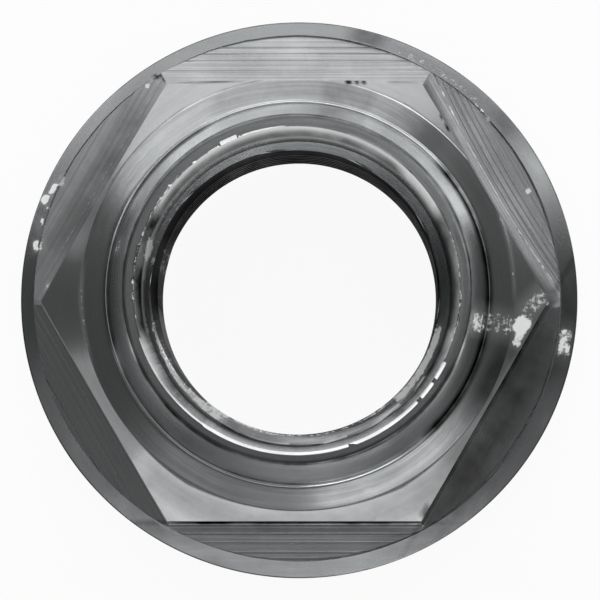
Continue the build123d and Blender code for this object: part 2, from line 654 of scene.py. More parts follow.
@dataclass
class Bore:
    """The mouth, the thread and the thread's entry.

    The profile's breaks are the shares of a pitch where the crest begins and ends and where the
    root begins and ends. The next crest begins at 1.
    """

    sizes: NutSizes
    profile_breaks: tuple[float, ...] = (0, 1 / 4, 9 / 16, 11 / 16)
    mouth_steps: int = 6
    entry_steps: int = 9

    def thread_radius(self, angles: np.ndarray, height: np.ndarray) -> np.ndarray:
        """Return the thread's radius.

        The height is taken back by one pitch for each turn, so the section climbs as a right-hand
        helix. Within a pitch P the radius is the minor one over P / 4, the major one over P / 8,
        and runs straight between them on the two flanks.

        Args:
            angles: Angle of each column.
            height: Height of each point, rows by columns.

        Returns:
            Radii in millimetres, rows by columns.
        """
        minor, major = self.sizes.thread_minor_radius, self.sizes.thread_major_radius
        phase = np.mod(height / self.sizes.thread_pitch - angles / (2 * np.pi), 1.0)
        return np.interp(phase, [*self.profile_breaks, 1.0], [minor, minor, major, major, minor])

    def build(self, profile: Profile) -> None:
        """Add the bore from the bearing face up to the counterbore's floor.

        Mouth and entry are cones of 45 degrees, and each is cut wherever the thread lies deeper. In
        between, the rows follow the thread's breaks as they climb one pitch in a turn.

        Args:
            profile: The outline, which stands at the mouth's edge.
        """
        sizes, angles = self.sizes, profile.angles
        mouth_depth = sizes.mouth_radius - sizes.thread_minor_radius
        entry_height = sizes.shoulder_height - (sizes.counterbore_radius - sizes.thread_minor_radius)
        heights = np.linspace(0, mouth_depth, self.mouth_steps + 1)[1:, None] + 0 * angles
        cone = sizes.mouth_radius - heights
        profile.run(np.maximum(cone, self.thread_radius(angles, heights)), heights, Finish.TURNED)
        # The rows climb a pitch in a turn and are then cut off, so there are some to spare.
        turns = int((entry_height - mouth_depth) / sizes.thread_pitch) + 3
        breaks = (np.arange(-1, turns)[:, None] + np.array(self.profile_breaks)[None, :]).ravel()
        heights = sizes.thread_pitch * (breaks[:, None] + angles[None, :] / (2 * np.pi) - 1)
        heights = np.clip(heights, mouth_depth, entry_height)
        profile.run(self.thread_radius(angles, heights), heights, Finish.TAPPED)
        rise = np.linspace(entry_height, sizes.shoulder_height, self.entry_steps + 1)
        heights = rise[1:, None] + 0 * angles
        cone = sizes.counterbore_radius - (sizes.shoulder_height - heights)
        profile.run(np.maximum(cone, self.thread_radius(angles, heights)), heights, Finish.BORED)


@dataclass
class Collar:
    """The counterbore, the lip and the tapered wall down to the shoulder.

    The counterbore's mouth has a broken edge. A broken span is the degrees where it starts and
    ends, and its width. Elsewhere it is as narrow as a hair. The nicked span has small nicks. The
    crest row and the foot row are rows of points next to the rounds of the crest and the foot.
    """

    sizes: NutSizes
    broken_spans: tuple[tuple[float, float, float], ...] = (
        (45, 72, 0.1), (93, 109.6, 0.09), (110.8, 118.4, 0.24), (118, 124, 0.05), (163.5, 170.5, 0.2),
        (196.6, 236, 0.14), (235, 289, 0.2), (289.8, 317.6, 0.22), (318.2, 326, 0.25), (326.6, 334.6, 0.25),
        (346, 351.5, 0.2), (354, 359, 0.12),
    )
    span_fade: float = 0.6
    hair_width: float = 0.03
    break_angle: float = 40.0
    nicked_span: tuple[float, float] = (123.0, 190.0)
    nicks_fade: tuple[float, float] = (6.0, 12.0)
    nick_width: float = 0.2
    nick_gain: float = 2.6
    nick_floor: float = 0.3
    crest_row: float = 0.3
    foot_row: float = 0.25

    def edge_break(self, angles: np.ndarray) -> np.ndarray:
        """Return the width of the broken edge round the counterbore's mouth.

        Each span has its own width, which falls to a hair at its ends. Nicks widen the edge where a
        random curve, times the gain, is above the floor.

        Args:
            angles: Angle of each column.

        Returns:
            A width in millimetres for each column.
        """
        degrees = np.degrees(np.mod(angles, 2 * np.pi))
        width = np.full_like(angles, self.hair_width)
        for start, end, break_width in self.broken_spans:
            rising = np.clip((degrees - start) / self.span_fade, 0, 1)
            falling = np.clip((end - degrees) / self.span_fade, 0, 1)
            width = np.maximum(width, break_width * rising * falling)
        start, end = self.nicked_span
        rising = np.clip((degrees - start) / self.nicks_fade[0], 0, 1)
        falling = np.clip((end - degrees) / self.nicks_fade[1], 0, 1)
        curve = wander(angles, seed=5, waves=18, slowest=60)
        nicks = np.clip(curve * self.nick_gain - self.nick_floor, 0, 1)
        return np.maximum(width, self.nick_width * rising * falling * nicks)

    def build(self, profile: Profile) -> None:
        """Add the collar from the counterbore's floor over the lip and down to its foot.

        Args:
            profile: The outline, which stands at the counterbore's floor.
        """
        sizes = self.sizes
        width = self.edge_break(profile.angles)
        lean = tan_deg(sizes.counterbore_draft_angle)
        drop = width * tan_deg(self.break_angle)
        profile.line(sizes.lip_inner_radius - drop * lean, sizes.nut_height - drop, Finish.BORED, steps=7)
        profile.line(sizes.lip_inner_radius + width, sizes.nut_height, Finish.TURNED, steps=2)
        taper = tan_deg(sizes.collar_draft_angle)
        foot_radius = sizes.lip_outer_radius + sizes.collar_height * taper
        shoulder_rise = (sizes.shoulder_radius - foot_radius) * tan_deg(sizes.shoulder_angle)
        foot_height = sizes.shoulder_height + shoulder_rise
        profile.line(sizes.lip_outer_radius - self.crest_row, sizes.nut_height, Finish.TURNED, steps=3)
        profile.corner((sizes.lip_outer_radius, sizes.nut_height), (foot_radius, foot_height),
                       sizes.collar_crest_radius, Finish.TURNED, steps=4)
        profile.line(foot_radius - self.foot_row, foot_height + self.foot_row / taper, Finish.BORED, steps=6)
        profile.corner((foot_radius, foot_height), (sizes.shoulder_radius, sizes.shoulder_height),
                       sizes.collar_foot_radius, Finish.TURNED, steps=6)


@dataclass(frozen=True)
class ShelfMarks:
    """The cutter's marks on one shelf, in millimetres and degrees.

    A line is how far out from the flat a mark runs, and each has its own depth. All are as wide at
    the top as the width says. A mark that bows is that much further out at the bow's reach. The
    strips between the marks tilt by up to the tilt, and the one next to the flat is raised towards
    its outer edge by the first rise.
    """

    lines: tuple[float, ...]
    depths: tuple[float, ...]
    width: float
    tilt: float
    bow: float = 0.0
    first_rise: float = 0.0


@dataclass
class Hexagon:
    """The shoulder, the corner chamfers, the flats and the shelves at their feet.

    The bow's reach is measured along a flat from its middle. The shelf's reach is how far out the
    last strip ends, and the waver how far the shelves' outer edge strays. The mark shares say where
    a mark's rows of points lie, in half widths from its middle. The rows before and after the marks
    lie that far in from the first mark and out from the last.
    """

    sizes: NutSizes
    columns: Columns
    shelf_marks: tuple[ShelfMarks, ...] = (
        # The upper right shelf, then on to the left round the nut.
        ShelfMarks((1.08, 1.45, 1.8, 2.2, 2.6), (0.006, 0.01, 0.012, 0.014, 0.01), width=0.14,
                   tilt=0.6, bow=0.4, first_rise=3.0),
        ShelfMarks((0.95, 1.49, 2.23, 2.77, 3.23), (0.0, 0.005, 0.022, 0.03, 0.028), width=0.09,
                   tilt=0.0),
        ShelfMarks((0.9, 1.3, 1.8, 2.4, 3.0), (0.004, 0.0, 0.006, 0.0, 0.004), width=0.4, tilt=0.8),
        ShelfMarks((0.8, 1.2, 1.7, 2.2, 2.8), (0.012, 0.01, 0.012, 0.008, 0.01), width=0.16,
                   tilt=0.7),
        ShelfMarks((0.9, 1.55, 2.3, 2.74, 3.1), (0.03, 0.005, 0.014, 0.01, 0.0), width=0.16,
                   tilt=0.3),
        ShelfMarks((0.8, 1.2, 1.7, 2.2, 2.8), (0.0, 0.0, 0.004, 0.0, 0.0), width=0.3, tilt=0.3),
    )
    bow_reach: float = 8.0
    shelf_reach: float = 3.9
    edge_waver: float = 0.045
    tilt_phase: float = 2.4
    foot_steps: int = 5
    mark_shares: tuple[float, ...] = (-1.3, -1, -0.5, 0, 0.5, 1, 1.3)
    rows_before_marks: tuple[float, ...] = (0.36, 0.22)
    rows_after_marks: tuple[float, ...] = (0.3, 0.6)

    def flats(self, angles: np.ndarray) -> np.ndarray:
        """Find which flat each column lies on: the one whose plane it meets first.

        Args:
            angles: Angle of each column.

        Returns:
            A number from 0 to 5 for each column.
        """
        distance = self.sizes.flat_distance + self.columns.flat_offsets()
        facing = np.cos(angles[:, None] - self.columns.flat_angles()[None, :])
        # A flat that faces away from a column, or nearly square to it, is never met.
        least = 0.2
        reach = np.where(facing > least, distance / np.maximum(facing, least), np.inf)
        return np.argmin(reach, axis=1)

    def mark_places(self, angles: np.ndarray, flat: np.ndarray) -> np.ndarray:
        """Find how far out from its flat each mark crosses each column.

        A mark's distance is its line's, and grows with the square of the distance along the flat.

        Args:
            angles: Angle of each column.
            flat: Which flat each column lies on.

        Returns:
            Millimetres, marks by columns.
        """
        lines = np.array([marks.lines for marks in self.shelf_marks])[flat].T
        bow = np.array([marks.bow for marks in self.shelf_marks])[flat]
        along = self.sizes.flat_distance * np.tan(angles - self.columns.flat_angles()[flat])
        return lines + bow * (along / self.bow_reach) ** 2

    def shelf_height(self, distance: np.ndarray, places: np.ndarray, flat: np.ndarray) -> np.ndarray:
        """Return the height of the shelf.

        Next to the flat it is an arc that starts upright, beyond it a plane that falls towards the
        rim. Each mark is a V. Each strip between marks tilts about its middle, by a sine of its
        number and its flat's.

        Args:
            distance: Millimetres from the hexagon's middle, square to the flat, rows by columns.
            places: Where each mark crosses each column, marks by columns.
            flat: Which flat each column lies on.

        Returns:
            Heights, rows by columns.
        """
        sizes = self.sizes
        slope, radius = tan_deg(sizes.shelf_angle), sizes.flat_foot_radius
        plane = sizes.shelf_foot - (distance - sizes.flat_distance) * slope
        middle = sizes.flat_distance + radius
        middle_height = sizes.shelf_foot - radius * slope + radius * math.hypot(1, slope)
        arc = middle_height - np.sqrt(np.maximum(radius ** 2 - (distance - middle) ** 2, 0))
        tangent = middle - radius * math.sin(math.radians(sizes.shelf_angle))
        height = np.where(distance < tangent, arc, plane)
        out = distance - sizes.flat_distance
        depths = np.array([marks.depths for marks in self.shelf_marks])[flat].T
        width = np.array([marks.width for marks in self.shelf_marks])[flat]
        tilt = np.array([marks.tilt for marks in self.shelf_marks])[flat]
        first_rise = np.array([marks.first_rise for marks in self.shelf_marks])[flat]
        ends = np.concatenate([0 * places[:1], places, 0 * places[:1] + self.shelf_reach])
        for strip in range(len(places) + 1):
            inside = (out >= ends[strip]) & (out < ends[strip + 1]) & (distance >= tangent)
            lean = np.sin(strip * self.tilt_phase + flat) * tilt if strip else first_rise
            centred = out - (ends[strip] + ends[strip + 1]) / 2
            height = height + inside * centred * np.tan(np.radians(lean))
        for place, depth in zip(places, depths):
            height = height - depth * np.clip(1 - np.abs(out - place) / (width / 2), 0, 1)
        return height

    def field_edge(self, angles: np.ndarray) -> np.ndarray:
        """Return the radius at which the milled shelves end.

        They end on a circle a little off the nut's axis, so its radius seen from the axis rises
        towards the side it is shifted to. The edge wavers a little.

        Args:
            angles: Angle of each column.

        Returns:
            A radius in millimetres for each column.
        """
        across, up = self.sizes.field_offset
        shift = across * np.cos(angles) + up * np.sin(angles)
        waver = self.edge_waver * wander(angles, seed=2, waves=16, slowest=5)
        return self.sizes.field_radius + shift + waver

    def shelf_rows(self, angles: np.ndarray, flat: np.ndarray, places: np.ndarray) -> np.ndarray:
        """Lay out the rows of points on the shelves.

        There are rows round the foot of the flat, over every mark, and midway between marks.

        Args:
            angles: Angle of each column.
            flat: Which flat each column lies on.
            places: Where each mark crosses each column, marks by columns.

        Returns:
            Distances from the hexagon's middle, square to the flat, rows by columns, rising.
        """
        sizes = self.sizes
        sweep = np.linspace(0, math.pi / 2 - math.radians(sizes.shelf_angle), self.foot_steps + 1)
        foot = sizes.flat_distance + sizes.flat_foot_radius * (1 - np.cos(sweep))
        half = np.array([marks.width for marks in self.shelf_marks])[flat] / 2
        lines = np.stack([places + share * half for share in self.mark_shares], axis=1)
        before = places[0] - np.array(self.rows_before_marks)[:, None]
        after = places[-1] + np.array(self.rows_after_marks)[:, None]
        strips = np.concatenate([before, (places[1:] + places[:-1]) / 2, after])
        rows = [foot[:, None] + 0 * angles, sizes.flat_distance + lines.reshape(-1, len(angles)),
                sizes.flat_distance + strips]
        return np.sort(np.concatenate(rows), axis=0)

    def build(self, profile: Profile) -> None:
        """Add the hexagon from the collar's foot down to the rim's bevel.

        A column's wall stands where it meets its flat: at the flat's distance over the cosine of
        the angle between them.

        Args:
            profile: The outline, which stands at the collar's foot.
        """
        sizes, angles = self.sizes, profile.angles
        flat = self.flats(angles)
        offset = self.columns.flat_offsets()[flat]
        facing = np.cos(angles - self.columns.flat_angles()[flat])
        wall = (sizes.flat_distance + offset) / facing
        shoulder = np.minimum(sizes.shoulder_radius, wall)
        slope = tan_deg(sizes.shoulder_angle)
        shoulder_height = sizes.shoulder_height + (sizes.shoulder_radius - shoulder) * slope
        profile.line(shoulder - sizes.edge_row, shoulder_height + sizes.edge_row * slope,
                     Finish.TURNED, steps=9)
        profile.line(shoulder, shoulder_height, Finish.TURNED, steps=1)
        drop = np.maximum(wall - sizes.shoulder_radius, 0) * tan_deg(sizes.corner_chamfer_angle)
        profile.line(wall, shoulder_height - drop, Finish.CHAMFERED, steps=9)
        places = self.mark_places(angles, flat)
        limit = self.field_edge(angles) * facing - offset
        distance = self.shelf_rows(angles, flat, places)
        distance = np.minimum(np.concatenate([distance, limit[None, :]]), limit)
        heights = self.shelf_height(distance, places, flat)
        profile.line(wall, profile.height - sizes.edge_row, Finish.MILLED, steps=1)
        profile.line(wall, heights[0] + sizes.edge_row, Finish.MILLED, steps=4)
        profile.line(wall, heights[0], Finish.MILLED, steps=1)
        radii = (distance + offset) / facing
        profile.run(radii[1:], heights[1:], Finish.MILLED, distance)
        past_bevel = np.maximum(profile.radius - sizes.bevel_inner_radius, 0)
        rim_height = sizes.flange_thickness - past_bevel * tan_deg(sizes.rim_bevel_angle)
        profile.line(profile.radius, rim_height, Finish.MILLED, steps=1)
        bevel_start = np.maximum(profile.radius, sizes.bevel_inner_radius)
        profile.line(bevel_start, rim_height, Finish.ROLLED, steps=1)


@dataclass
class Flange:
    """The rim with its bevel, and the serrated bearing face.

    The rim's round is the radius between its bevel and its wall. The land row is how far outside
    the plain land the last row of the gullets stands.
    """

    sizes: NutSizes
    columns: Columns
    rim_round: float = 0.12
    land_row: float = 0.03
    chamfer_steps: int = 3
    gullet_steps: int = 5

    def gullet(self, angles: np.ndarray) -> np.ndarray:
        """Return the gullets' depth for each millimetre from the axis.

        Over one pitch it is nothing on the crest, rises steeply to the bottom and comes back
        evenly along the ramp.

        Args:
            angles: Angle of each column.

        Returns:
            A slope for each column.
        """
        crest, bottom, end = self.columns.tooth_angles
        pitch = 2 * np.pi / self.sizes.serration_count
        phase = np.mod(angles + crest, pitch) - crest
        return np.interp(phase, [-crest, crest, bottom, end], [0, 0, self.sizes.gullet_slope, 0])

    def build(self, profile: Profile) -> None:
        """Add the rim and the bearing face, back to the bore's mouth.

        A gullet's depth is its slope times the radius, and the foot's chamfer of 45 degrees gives
        way wherever a gullet lies deeper.

        Args:
            profile: The outline, which stands at the top of the rim's bevel.
        """
        sizes, angles = self.sizes, profile.angles
        bevel_rise = self.rim_round * tan_deg(sizes.rim_bevel_angle)
        profile.line(sizes.flange_radius - self.rim_round, sizes.rim_top + bevel_rise,
                     Finish.ROLLED, steps=6)
        profile.corner((sizes.flange_radius, sizes.rim_top), (sizes.flange_radius, 0.0),
                       self.rim_round, Finish.ROLLED, steps=3)
        gullet = self.gullet(angles)
        foot = np.maximum(gullet * sizes.flange_radius, sizes.rim_foot_chamfer)
        profile.line(sizes.flange_radius, foot, Finish.ROLLED, steps=3)
        inner = sizes.flange_radius - sizes.rim_foot_chamfer
        radii = np.linspace(sizes.flange_radius, inner, self.chamfer_steps + 1)[1:, None] + 0 * angles
        heights = np.maximum(gullet * radii, radii - inner)
        profile.run(radii, heights, Finish.PRESSED)
        end = sizes.plain_land_radius + self.land_row
        radii = np.linspace(inner, end, self.gullet_steps + 1)[1:, None] + 0 * angles
        profile.run(radii, gullet * radii, Finish.PRESSED)
        profile.line(sizes.plain_land_radius, 0.0, Finish.PRESSED, steps=1)
        profile.line(sizes.mouth_radius, 0.0, Finish.PRESSED, steps=2)


def add_node(tree: bpy.types.NodeTree, kind: str, settings: dict | None = None,
             inputs: dict | None = None) -> bpy.types.Node:
    """Add a shader node, with its settings, values and links.

    Args:
        tree: The node tree.
        kind: The node's type name.
        settings: Properties of the node.
        inputs: Values or output sockets for the node's inputs, by name or number.

    Returns:
        The new node.
    """
    node = tree.nodes.new(kind)
    for key, value in (settings or {}).items():
        setattr(node, key, value)
    for key, value in (inputs or {}).items():
        if isinstance(value, bpy.types.NodeSocket):
            tree.links.new(value, node.inputs[key])
        else:
            node.inputs[key].default_value = value
    return node


def linear(colour: str) -> tuple[float, float, float, float]:
    """Turn an sRGB hex colour to linear red, green, blue and alpha, by the sRGB curve."""
    parts = [int(colour[place:place + 2], 16) / 255 for place in (1, 3, 5)]
    return tuple(p / 12.92 if p <= 0.04045 else ((p + 0.055) / 1.055) ** 2.4 for p in parts) + (1.0,)


@dataclass(frozen=True)
class SteelFinish:
    """Bare steel as one tool left it, with rubs and painted highlights in places, and dirt and painted shade
    in others.

    The marks are a noise drawn out along the tool's path: slow in X and Y, quick across the marks.
    A second, broader one bends the surface a little, so that reflections waver. The light tone has
    the first roughness, and the dark tone the second. Lengths are in millimetres. The spans are the
    values of a noise, or of paint and noise together, between which a cover goes from none to full.
    """

    name: str
    dark: str
    light: str
    roughness: tuple[float, float]
    mark_spacing: float
    mark_length: float
    mark_depth: float
    swell: float
    swell_ratio: float = 7.0
    blotch_size: float = 3.846
    blotch_share: float = 0.45
    tone_span: tuple[float, float] = (0.35, 0.65)
    rub_and_highlight_colours: tuple[str, str] = ("#A9ABAC", "#FBFCFC")
    rub_and_highlight_roughness: float = 0.4
    flake_size: float = 0.42
    flake_span: tuple[float, float] = (0.98, 1.12)
    ridge_share: float = 0.3
    haze: float = 0.33
    dirt_and_shade_tone: str = "#1C1C1D"
    cloud_size: float = 2.0
    cloud_span: tuple[float, float] = (0.3, 0.7)
    cloud_strength: tuple[float, float] = (0.7, 1.2)
    wall_stretch: float = 4.0

    def marks(self, tree: bpy.types.NodeTree, place: bpy.types.NodeSocket,
              spacing: float) -> bpy.types.NodeSocket:
        """Add a noise drawn out along the tool's path.

        Args:
            tree: The node tree.
            place: The surface's coordinates.
            spacing: Millimetres from mark to mark.

        Returns:
            The noise's value, from 0 to 1.
        """
        split = add_node(tree, "ShaderNodeSeparateXYZ", inputs={0: place})
        across = add_node(tree, "ShaderNodeAttribute", {"attribute_name": "across"})
        slow = 1 / (self.mark_length * MM)
        east = add_node(tree, "ShaderNodeMath", {"operation": "MULTIPLY"}, {0: split.outputs[0], 1: slow})
        north = add_node(tree, "ShaderNodeMath", {"operation": "MULTIPLY"}, {0: split.outputs[1], 1: slow})
        quick = add_node(tree, "ShaderNodeMath", {"operation": "MULTIPLY"},
                         {0: across.outputs["Fac"], 1: 1 / spacing})
        lay = add_node(tree, "ShaderNodeCombineXYZ", inputs={0: east.outputs[0], 1: north.outputs[0],
                                                             2: quick.outputs[0]})
        noise = add_node(tree, "ShaderNodeTexNoise", inputs={"Vector": lay.outputs[0], "Scale": 1.0,
                                                             "Detail": 3.0, "Roughness": 0.55})
        return noise.outputs["Fac"]

    def spots(self, tree: bpy.types.NodeTree, place: bpy.types.NodeSocket,
              fine: bpy.types.NodeSocket) -> bpy.types.NodeSocket:
        """Break the painted rub and the painted highlights into flakes.

        Where the paint is strong the flakes run together, and where it is weak few are left. Some
        of the paint stays between them as a soft haze.

        Args:
            tree: The node tree.
            place: The surface's coordinates.
            fine: The tool marks, whose ridges catch the rub.

        Returns:
            The flakes' cover, from 0 to 1.
        """
        paint = add_node(tree, "ShaderNodeAttribute", {"attribute_name": "rubs_and_painted_highlights"})
        flakes = add_node(tree, "ShaderNodeTexNoise", inputs={
            "Vector": place, "Scale": 1 / (self.flake_size * MM), "Detail": 4.0, "Roughness": 0.7})
        caught = add_node(tree, "ShaderNodeMix", {"data_type": "FLOAT"},
                          {"Factor": self.ridge_share, "A": flakes.outputs["Fac"], "B": fine})
        both = add_node(tree, "ShaderNodeMath", {"operation": "ADD"}, {0: paint.outputs["Fac"],
                                                                       1: caught.outputs[0]})
        crisp = add_node(tree, "ShaderNodeMapRange", inputs={
            0: both.outputs[0], 1: self.flake_span[0], 2: self.flake_span[1]})
        return add_node(tree, "ShaderNodeMath", {"operation": "MULTIPLY_ADD", "use_clamp": True},
                        {0: paint.outputs["Fac"], 1: self.haze, 2: crisp.outputs[0]}).outputs[0]

    def dirt_and_shade_film(self, tree: bpy.types.NodeTree, place: bpy.types.NodeSocket) -> bpy.types.NodeSocket:
        """Add the cover of dirt and painted shade: as strong as it was painted, and a little cloudy.

        Args:
            tree: The node tree.
            place: The surface's coordinates.

        Returns:
            The cover, from 0 to 1.
        """
        paint = add_node(tree, "ShaderNodeAttribute", {"attribute_name": "dirt_and_painted_shade"})
        cloud = add_node(tree, "ShaderNodeTexNoise", inputs={
            "Vector": place, "Scale": 1 / (self.cloud_size * MM), "Detail": 3.0, "Roughness": 0.6})
        depth = add_node(tree, "ShaderNodeMapRange", inputs={
            0: cloud.outputs["Fac"], 1: self.cloud_span[0], 2: self.cloud_span[1],
            3: self.cloud_strength[0], 4: self.cloud_strength[1]})
        return add_node(tree, "ShaderNodeMath", {"operation": "MULTIPLY", "use_clamp": True},
                        {0: paint.outputs["Fac"], 1: depth.outputs[0]}).outputs[0]

    def material(self) -> bpy.types.Material:
        """Build the material.

        The bare steel's tone follows the marks and broad blotches. Dirt and painted shade darken it, also
        where it is seen at a grazing angle, and flakes of rub and painted highlight lie on top: pale, dull
        and no longer like a mirror.
        Patterns are drawn out in height, so that they run down the walls.

        Returns:
            The material.
        """
        material = bpy.data.materials.new(self.name)
        material.use_nodes = True
        tree = material.node_tree
        tree.nodes.clear()
        spot = add_node(tree, "ShaderNodeTexCoord").outputs["Object"]
        place = add_node(tree, "ShaderNodeVectorMath", {"operation": "MULTIPLY"},
                         {0: spot, 1: (1.0, 1.0, 1 / self.wall_stretch)}).outputs[0]
        fine = self.marks(tree, place, self.mark_spacing)
        broad = self.marks(tree, place, self.swell_ratio * self.mark_spacing)
        blotch = add_node(tree, "ShaderNodeTexNoise", inputs={
            "Vector": place, "Scale": 1 / (self.blotch_size * MM), "Detail": 4.0, "Roughness": 0.6})
        tone = add_node(tree, "ShaderNodeMix", {"data_type": "FLOAT"},
                        {"Factor": self.blotch_share, "A": fine, "B": blotch.outputs["Fac"]})
        even = add_node(tree, "ShaderNodeMapRange", inputs={
            0: tone.outputs[0], 1: self.tone_span[0], 2: self.tone_span[1]}).outputs[0]
        bare = add_node(tree, "ShaderNodeMix", {"data_type": "RGBA"},
                        {"Factor": even, "A": linear(self.dark), "B": linear(self.light)})
        # Dirt and painted shade: darker where the nut lies in shade, and where dirt lies on it.
        dirt_and_painted_shade = self.dirt_and_shade_film(tree, place)
        dirtied_and_shaded = add_node(tree, "ShaderNodeMix", {"data_type": "RGBA"},
                         {"Factor": dirt_and_painted_shade, "A": bare.outputs[2], "B": linear(self.dirt_and_shade_tone)})
        # Rubs and painted highlights: pale flakes where the nut is worn and where light catches its edges.
        rubs_and_painted_highlights = self.spots(tree, place, fine)
        sheen = add_node(tree, "ShaderNodeMix", {"data_type": "RGBA"}, {
            "Factor": rubs_and_painted_highlights, "A": linear(self.rub_and_highlight_colours[0]), "B": linear(self.rub_and_highlight_colours[1])})
        colour = add_node(tree, "ShaderNodeMix", {"data_type": "RGBA"},
                          {"Factor": rubs_and_painted_highlights, "A": dirtied_and_shaded.outputs[2], "B": sheen.outputs[2]})
        edge = add_node(tree, "ShaderNodeMix", {"data_type": "RGBA"},
                        {"Factor": dirt_and_painted_shade, "A": (1, 1, 1, 1), "B": linear(self.dirt_and_shade_tone)})
        metal = add_node(tree, "ShaderNodeMapRange", inputs={0: rubs_and_painted_highlights, 3: 1.0, 4: 0.0})
        satin = add_node(tree, "ShaderNodeMapRange",
                         inputs={0: even, 3: self.roughness[1], 4: self.roughness[0]})
        rough = add_node(tree, "ShaderNodeMix", {"data_type": "FLOAT"},
                         {"Factor": rubs_and_painted_highlights, "A": satin.outputs[0], "B": self.rub_and_highlight_roughness})
        wave = add_node(tree, "ShaderNodeBump", inputs={"Height": broad, "Strength": 1.0,
                                                        "Distance": self.swell * MM})
        groove = add_node(tree, "ShaderNodeBump", inputs={"Height": fine, "Strength": 1.0,
                                                          "Distance": self.mark_depth * MM,
                                                          "Normal": wave.outputs[0]})
        shader = add_node(tree, "ShaderNodeBsdfPrincipled", inputs={
            "Base Color": colour.outputs[2], "Metallic": metal.outputs[0], "Roughness": rough.outputs[0],
            "Specular Tint": edge.outputs[2], "Normal": groove.outputs[0]})
        add_node(tree, "ShaderNodeOutputMaterial", inputs={0: shader.outputs[0]})
        return material


# Real tool marks are 0.1 to 0.2 mm apart. Where a finish has them further apart, they are drawn as
# coarse as they need to be to show.

# Bright steel off a lathe: a smooth satin with faint rings.
TURNED_STEEL = SteelFinish("turned_steel", "#9A9C9D", "#B4B6B7", (0.15, 0.24), 0.22, 9.0, 0.0015, 0.012)
# Steel off a milling cutter: straight marks, a little rougher.
MILLED_STEEL = SteelFinish("milled_steel", "#9C9E9F", "#BABCBD", (0.2, 0.28), 0.12, 12.0, 0.0018, 0.003)
# Steel off a tap: torn and dull, and dark as painted shade for the inside of the bore.
TAPPED_STEEL_PAINTED_SHADE = SteelFinish("tapped_steel_painted_shade", "#39393A", "#59595B", (0.25, 0.45), 0.15, 2.0, 0.006, 0.01)
# Steel pressed in a die: even and dull.
PRESSED_STEEL = SteelFinish("pressed_steel", "#86878A", "#A2A3A5", (0.3, 0.42), 0.6, 0.6, 0.002, 0.01)
# Bright steel from a boring tool: the counterbore and the collar's wall, smoother than the shoulder.
BORED_STEEL = SteelFinish("bored_steel", "#A2A4A5", "#C8CACB", (0.18, 0.22), 0.3, 9.0, 0.0008, 0.006)
# Bright steel off a form tool: the corner chamfers, lighter than the shoulder, with no rings.
CHAMFERED_STEEL = SteelFinish("chamfered_steel", "#B0B2B3", "#C6C8C9", (0.16, 0.22), 1.2, 9.0, 0.0, 0.015)
# Steel rolled smooth when the blank was formed: the rim and its bevel, greyer and duller.
ROLLED_STEEL = SteelFinish("rolled_steel", "#868889", "#989A9B", (0.22, 0.3), 1.2, 9.0, 0.0, 0.012)


@dataclass
class Nut:
    """The whole nut, one closed mesh that stands for the solid."""

    sizes: NutSizes
    finishes: dict[Finish, SteelFinish] = field(default_factory=lambda: {
        Finish.TURNED: TURNED_STEEL, Finish.MILLED: MILLED_STEEL,
        Finish.TAPPED: TAPPED_STEEL_PAINTED_SHADE, Finish.PRESSED: PRESSED_STEEL, Finish.BORED: BORED_STEEL,
        Finish.ROLLED: ROLLED_STEEL, Finish.CHAMFERED: CHAMFERED_STEEL})

    def build(self) -> bpy.types.Object:
        """Build the mesh, dress it and let it stand for the node.

        Returns:
            The finished piece.
        """
        columns = Columns(self.sizes)
        profile = Profile(columns.angles(), self.sizes.mouth_radius, 0.0)
        for section in (Bore(self.sizes), Collar(self.sizes), Hexagon(self.sizes, columns),
                        Flange(self.sizes, columns)):
            section.build(profile)
        piece = profile.mesh("flange_nut", WearAndPaintedLight())
        for finish in sorted(self.finishes, key=lambda item: item.value):
            piece.data.materials.append(self.finishes[finish].material())
        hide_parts(NODE)
        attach(piece, BODY)
        return piece


@dataclass(frozen=True)
class Softbox:
    """A soft lamp, placed by where it stands and how wide it looks as seen from the nut.

    Angles are in degrees, with azimuths counted from +X towards +Y, and the distance is in
    millimetres.
    """

    name: str
    azimuth: float
    elevation: float
    half_width: float
    half_height: float
    radiance: float
    round: bool = False
    distance: float = 600.0

    def build(self) -> None:
        """Make the lamp, facing the nut. Its power is its radiance times pi times its area."""
        lamp = bpy.data.lights.new(self.name, "AREA")
        lamp.shape = "ELLIPSE" if self.round else "RECTANGLE"
        width = 2 * self.distance * MM * tan_deg(self.half_width)
        height = 2 * self.distance * MM * tan_deg(self.half_height)
        lamp.size, lamp.size_y = width, height
        area = width * height * (math.pi / 4 if self.round else 1)
        lamp.energy = self.radiance * math.pi * area
        turn, rise = math.radians(self.azimuth), math.radians(self.elevation)
        away = Vector((math.cos(rise) * math.cos(turn), math.cos(rise) * math.sin(turn), math.sin(rise)))
        side = Vector((-math.sin(turn), math.cos(turn), 0))
        facing = Matrix((side, away.cross(side), away)).transposed().to_4x4()
        stand = bpy.data.objects.new(self.name, lamp)
        stand.matrix_world = Matrix.Translation(away * self.distance * MM) @ facing
        bpy.context.scene.collection.objects.link(stand)


